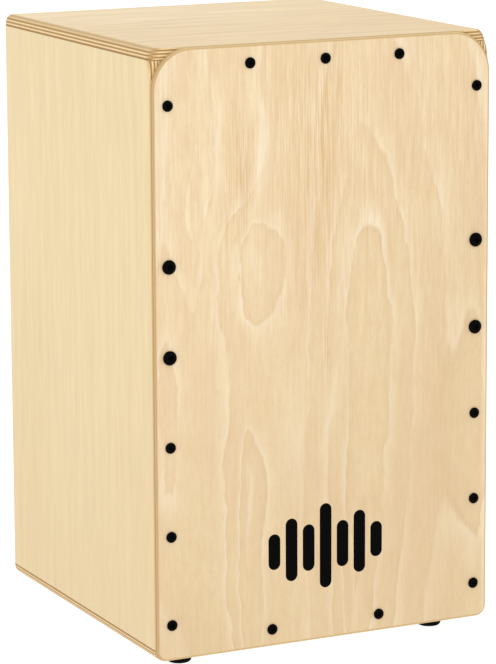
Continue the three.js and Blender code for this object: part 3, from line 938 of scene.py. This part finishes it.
# Figure of the striking plate, where the knife met the growth rings almost flat. Each flame: its widest
# place across and up, half width, how far it reaches up and down (shares of the plate), and strength,
# which is negative where the rings dip instead.
FLAMES = [
    (0.290, 0.655, 0.080, 0.065, 0.125, 0.86),
    (0.620, 0.600, 0.115, 0.150, 0.450, 0.30),
    (0.650, 0.520, 0.260, 0.500, 0.900, 1.26),
    (0.430, 0.650, 0.050, 0.200, 0.250, -0.35),
    (0.270, 0.280, 0.050, 0.110, 0.650, 0.92),
    (0.600, 0.150, 0.045, 0.130, 0.500, 0.80),
    (0.960, 0.340, 0.060, 0.260, 0.260, 0.80),
    (0.030, 0.420, 0.060, 0.220, 0.240, 0.80),
    (0.110, 0.720, 0.050, 0.300, 0.120, -0.70),
]
RINGS_PER_FLAME = 2.0
STRAIGHT_RINGS = 3.0  # rings across the plate's width outside the flames, on both sides of their axis
FIGURE_AXIS = 0.615
FIRST_RING = 1.45  # where the count of rings starts on that axis
RING_WANDER = 0.6
FLAME_POINT = 1.4  # 2 would round a flame's tip, 1 would crease it
# Strength of a ring's pale band and of its brown line, by place across the ring
PALE_BAND = [(0.0, 0), (0.55, 0), (0.80, 0.6), (0.90, 1), (0.955, 0.6), (1.0, 0)]
BROWN_LINE = [(0.0, 0.8), (0.07, 0.3), (0.25, 0), (0.94, 0), (0.975, 1), (1.0, 0.8)]
# Bends of the whole figure: cells per metre, how far they are drawn out, seed, and reach to the side
FIGURE_BENDS = [(24, 3.0, 31.0, 0.07), (90, 3.0, 33.0, 0.028), (260, 3.0, 37.0, 0.012)]
FIGURE_RISE = 0.035  # and their reach upwards
# Where ring edges stand out: centre across and up, half width, reach up and down
CLEAR_RINGS = [
    (0.295, 0.640, 0.130, 0.110, 0.160),
    (0.640, 0.680, 0.180, 0.090, 0.200),
    (0.275, 0.280, 0.100, 0.110, 0.200),
]
# Single streaks: the same, and lean
PALE_STREAKS = [
    (0.520, 0.400, 0.016, 0.100, 0.080, 0.35),
    (0.180, 0.820, 0.014, 0.120, 0.100, -0.05),
    (0.300, 0.790, 0.022, 0.110, 0.090, 0.10),
    (0.560, 0.640, 0.012, 0.060, 0.110, 0.15),
]
BROWN_STREAKS = [
    (0.490, 0.850, 0.115, 0.180, 0.280, 0.0),
    (0.505, 0.510, 0.010, 0.060, 0.070, 0.10),
    (0.245, 0.780, 0.040, 0.120, 0.100, 0.0),
]
LACQUER = (0.88, 0.875, 0.85, 1.0)
PLATE_LOW_RIGHT_SHADE = (0.80, 0.775, 0.715, 1.0)  # painted shade: darker towards the lower right
SHADE_SLANT = (0.3, 0.0, -0.7)  # weights of the place across and up, for that painted shade
RIM_HIGHLIGHT = (0.92, 0.925, 0.92, 1.0)  # painted highlight: paler along the right edge
RIM_START, RIM_END = 142 * MM, 149 * MM


def plate_share(shader):
    """Place on the plate as shares of its width and height, bent a little by the growth of the tree."""
    size = PLATE_HIGH - PLATE_LOW
    scale = (1 / size.x, 0.0, 1 / size.z)
    start = (-PLATE_LOW.x / size.x, 0.0, -PLATE_LOW.z / size.z)
    across = 0.0
    for density, draw, seed, reach in FIGURE_BENDS:
        sway = shader.drawn_noise(Z, density, draw, seed, detail=1)
        across = shader.math("ADD", across, shader.swing(sway, reach))
    rise = shader.swing(shader.drawn_noise(Z, 70, 1.2, 35.0, detail=3), FIGURE_RISE)
    bend = shader.add("ShaderNodeCombineXYZ", {0: across, 2: rise}).outputs[0]
    share = shader.vector("MULTIPLY_ADD", shader.position, scale, start)
    return shader.vector("ADD", share, bend)


def bell(shader, share, across, up, half_width, reach_up, reach_down, lean=0.0):
    """1 at a centre, falling to 0 outside it, somewhat pointed at its top and foot. It has its own
    reach upwards and downwards."""
    lift = shader.math("SUBTRACT", shader.part(share, Z), up)
    middle = shader.math("MULTIPLY_ADD", lift, lean, across)
    side = shader.math("DIVIDE", shader.math("SUBTRACT", shader.part(share, X), middle), half_width)
    above = shader.math("DIVIDE", shader.math("MAXIMUM", lift, 0.0), reach_up)
    below = shader.math("DIVIDE", shader.math("MINIMUM", lift, 0.0), reach_down)
    lift = shader.math("ADD", above, below)
    pointed = shader.math("POWER", shader.math("ABSOLUTE", side), FLAME_POINT)
    square = shader.math("MULTIPLY_ADD", lift, lift, pointed)
    return shader.math("EXPONENT", shader.math("MULTIPLY", square, -1.0))


def ring_edges(shader, share):
    """Where a growth ring ends: (strength of the pale band, strength of the thin brown line)."""
    aside = shader.math("ABSOLUTE", shader.math("SUBTRACT", shader.part(share, X), FIGURE_AXIS))
    rings = shader.math("MULTIPLY_ADD", aside, -STRAIGHT_RINGS / RINGS_PER_FLAME, FIRST_RING)
    for *place, strength in FLAMES:
        rings = shader.math("MULTIPLY_ADD", bell(shader, share, *place), strength, rings)
    wander = shader.drawn_noise(Z, 14, 4, 41.0, detail=2)
    rings = shader.math("MULTIPLY_ADD", wander, RING_WANDER, rings)
    phase = shader.math("FRACT", shader.math("MULTIPLY", rings, RINGS_PER_FLAME))
    fade = shader.span(shader.drawn_noise(Z, 26, 2.5, 61.0, detail=1), 0.36, 0.60, 0.2, 0.6)
    for place in CLEAR_RINGS:
        fade = shader.math("MAXIMUM", fade, bell(shader, share, *place))
    return [shader.math("MULTIPLY", shader.ramp(phase, stops), fade) for stops in (PALE_BAND, BROWN_LINE)]


def figured_face(shader):
    share = plate_share(shader)
    fine = shader.drawn_noise(Z, 1400, 18, 43.0, detail=3, roughness=0.65)
    fibre = shader.drawn_noise(Z, 520, 18, 47.0, detail=4, roughness=0.7)
    streak = shader.drawn_noise(Z, 170, 12, 49.0, detail=3, roughness=0.6)
    dash = shader.drawn_noise(Z, 1000, 6, 53.0, detail=2)
    mottle = shader.drawn_noise(Z, 130, 1.6, 57.0, detail=4, roughness=0.65)
    patch = shader.drawn_noise(Z, 16, 2.5, 59.0, detail=2)
    lively = shader.span(shader.part(share, Z), 0.30, 0.85, 0.30, 1.0)

    pale, line = ring_edges(shader, share)
    brown = shader.drawn_noise(Z, 800, 50, 67.0, detail=3, roughness=0.65)
    brown = shader.span(brown, 0.44, 0.58, 0.0, 0.55)
    # Two factors of each layer's strength, and its colour
    layers = [
        (shader.span(mottle, 0.40, 0.66), 0.25, srgb(228, 197, 156)),
        (pale, 0.95, srgb(253, 238, 211)),
        (line, 0.38, srgb(212, 176, 130)),
        (shader.span(fibre, 0.46, 0.70, 0.0, 0.38), lively, srgb(219, 184, 137)),
        (shader.span(fibre, 0.50, 0.28, 0.0, 0.42), lively, srgb(252, 238, 211)),
        (shader.span(streak, 0.44, 0.64, 0.0, 0.25), lively, srgb(226, 194, 150)),
        (shader.span(fine, 0.35, 0.65), 0.12, srgb(222, 188, 143)),
        (shader.span(dash, 0.62, 0.74), 0.20, srgb(212, 174, 128)),
    ]
    layers += [(bell(shader, share, *place), 0.5, srgb(253, 238, 212)) for place in PALE_STREAKS]
    layers += [(bell(shader, share, *place), brown, srgb(212, 170, 114)) for place in BROWN_STREAKS]
    colour = shader.mix(shader.span(patch, 0.35, 0.65), srgb(243, 219, 179), srgb(239, 212, 173))
    for amount, scale, tone in layers:
        colour = shader.mix(shader.math("MULTIPLY", amount, scale), colour, tone)
    # lacquer tone with painted shade: the plate darker towards the lower right
    corner = shader.vector("DOT_PRODUCT", share, SHADE_SLANT)
    lacquer_and_light = shader.mix(shader.span(corner, -0.5, 0.06), LACQUER, PLATE_LOW_RIGHT_SHADE)
    # painted highlight: paler along the plate's right edge
    rim_highlight = shader.span(shader.part(shader.position, X), RIM_START, RIM_END)
    lacquer_and_light = shader.mix(rim_highlight, lacquer_and_light, RIM_HIGHLIGHT)
    return shader.vector("MULTIPLY", colour, lacquer_and_light), fine


def plate_ply():
    return plywood("plate_ply", Y, FRONT_Y, 1, PLATE_PLIES, Z, X, figured_face,
                   edge_tones=(PLATE_SIDE_GRAIN, PLATE_END_GRAIN), arris=0.5)


PINE_RINGS_PER_METRE = 420.0


def pine(axis, seed_word):
    """Sawn softwood: growth rings round a distant pith, so that end grain shows arcs."""
    shader = Shader(f"pine_{seed_word}")
    seed = sum(map(ord, seed_word)) % 97
    flat = [1.0, 1.0, 1.0]
    flat[axis] = 0.02
    pith = [0.03, 0.035, 0.04]
    pith[axis] = 0.0
    radial = shader.vector("MULTIPLY_ADD", shader.position, flat, pith)
    sway = shader.drawn_noise(axis, 40, 8, seed, detail=2)
    distance = shader.math("MULTIPLY_ADD", sway, 4 * MM, shader.vector("LENGTH", radial))
    phase = shader.math("FRACT", shader.math("MULTIPLY", distance, PINE_RINGS_PER_METRE))
    late = shader.ramp(phase, [(0.0, 0), (0.55, 0.15), (0.9, 1), (1.0, 0)])
    fibre = shader.drawn_noise(axis, 1200, 40, seed + 3.0, detail=3)
    end_on = shader.span(shader.math("ABSOLUTE", shader.part(shader.normal, axis)), 0.5, 0.95)
    wood = shader.mix(late, srgb(226, 192, 139), srgb(190, 140, 86))
    wood = shader.mix(shader.span(fibre, 0.3, 0.7, 0.2, 0.0), wood, srgb(176, 132, 82))
    wood = shader.mix(shader.math("MULTIPLY", end_on, 0.45), wood, srgb(160, 116, 70))
    return shader.surface(wood, shader.span(fibre, 0.3, 0.7, 0.7, 0.6), fibre, 0.05 * MM)


def speckled(name, dark, light, density, rough_low, rough_high, relief, **fixed):
    """A fine-grained coating or metal, mottled between two tones."""
    shader = Shader(name)
    mottle = shader.noise(shader.scaled(density), detail=4, roughness=0.6)
    colour = shader.mix(shader.span(mottle, 0.35, 0.65), dark, light)
    rough = shader.span(mottle, 0.3, 0.7, rough_low, rough_high)
    return shader.surface(colour, rough, mottle, relief, **fixed)


def black_oxide():
    return speckled("black_oxide", srgb(2, 2, 2), srgb(8, 8, 8), 1500.0, 0.38, 0.5, 0.01 * MM,
                    Specular_IOR_Level=0.03)


def zinc_steel(name):
    return speckled(name, srgb(178, 181, 186), srgb(206, 208, 212), 900.0, 0.26, 0.4, 0.01 * MM, Metallic=1.0)


def spring_steel():
    return speckled("spring_steel", srgb(150, 153, 158), srgb(186, 189, 194), 2500.0, 0.2, 0.32, 0.004 * MM,
                    Metallic=1.0)


def rubber():
    return speckled("foot_rubber", srgb(4, 4, 4), srgb(11, 11, 11), 2200.0, 0.62, 0.78, 0.04 * MM,
                    Specular_IOR_Level=0.04)


def ink():
    return speckled("screen_ink", srgb(2, 2, 2), srgb(6, 6, 6), 1800.0, 0.5, 0.62, 0.004 * MM,
                    Specular_IOR_Level=0.03)


def felt():
    return speckled("grey_felt", srgb(48, 48, 50), srgb(78, 78, 82), 3000.0, 0.92, 1.0, 0.15 * MM,
                    Sheen_Weight=0.4, Sheen_Roughness=0.6)


# ---------------------------------------------------------------- studio

TABLE_GLOW = 0.9
TABLE_RADIUS = 40.0
TABLE_DROP = 0.2 * MM  # so that the feet don't share its plane
SURROUND = 1.0
KEY_WATTS = 6
KEY_SPOT = (-1.0, -1.5, 1.4)
KEY_SIZE = (1.2, 1.2)


def place_camera():
    camera = added("camera", bpy.data.cameras.new("camera"))
    camera.data.lens = LENS_MM
    camera.data.shift_y = SHIFT_UP
    camera.data.clip_end = 50
    forward = Vector((math.sin(YAW) * math.cos(PITCH), math.cos(YAW) * math.cos(PITCH), -math.sin(PITCH)))
    level = Vector((math.cos(YAW), -math.sin(YAW), 0))
    rise = level.cross(forward)
    right = level * math.cos(ROLL) + rise * math.sin(ROLL)
    up = rise * math.cos(ROLL) - level * math.sin(ROLL)
    turn = Matrix((right, up, -forward)).transposed().to_4x4()
    spot = BOX_MIDDLE - forward * DISTANCE + right * AIM_RIGHT + up * AIM_UP
    camera.matrix_world = Matrix.Translation(spot) @ turn
    bpy.context.scene.camera = camera


def place_key():
    key = added("key", bpy.data.lights.new("key", "AREA"))
    key.data.shape = "RECTANGLE"
    key.data.size, key.data.size_y = KEY_SIZE
    key.data.energy = KEY_WATTS
    key.location = KEY_SPOT
    key.rotation_mode = "QUATERNION"
    key.rotation_quaternion = (Vector(KEY_SPOT) - BOX_MIDDLE).to_track_quat("Z", "Y")


def make_studio():
    """White light table, even surrounding light and one large softbox at the upper left."""
    shader = Shader("pale_floor")
    mottle = shader.noise(shader.scaled(6.0), detail=3)
    colour = shader.mix(mottle, grey(0.24), grey(0.26))
    rough = shader.span(mottle, 0.3, 0.7, 0.8, 0.9)
    material = shader.surface(colour, rough, Specular_IOR_Level=0.2,
                              Emission_Color=grey(1.0), Emission_Strength=TABLE_GLOW)
    rim = circle((0, 0, -TABLE_DROP), TABLE_RADIUS, Z, 64)
    mesh = mesh_of("studio_floor", rim, [tuple(range(len(rim)))])
    mesh.materials.append(material)
    floor = added("studio_floor", mesh)

    world = bpy.data.worlds.new("studio")
    bpy.context.scene.world = world
    world.use_nodes = True
    background = world.node_tree.nodes["Background"]
    background.inputs["Color"].default_value = (1.0, 1.0, 1.0, 1.0)
    background.inputs["Strength"].default_value = SURROUND
    place_key()
    bpy.context.scene.view_settings.view_transform = "Standard"


place_camera()
make_studio()
make_boards()
make_sides()
make_back()
make_plate()
make_battens()
make_screws()
make_snares()
make_damper()
make_feet()
make_mark()
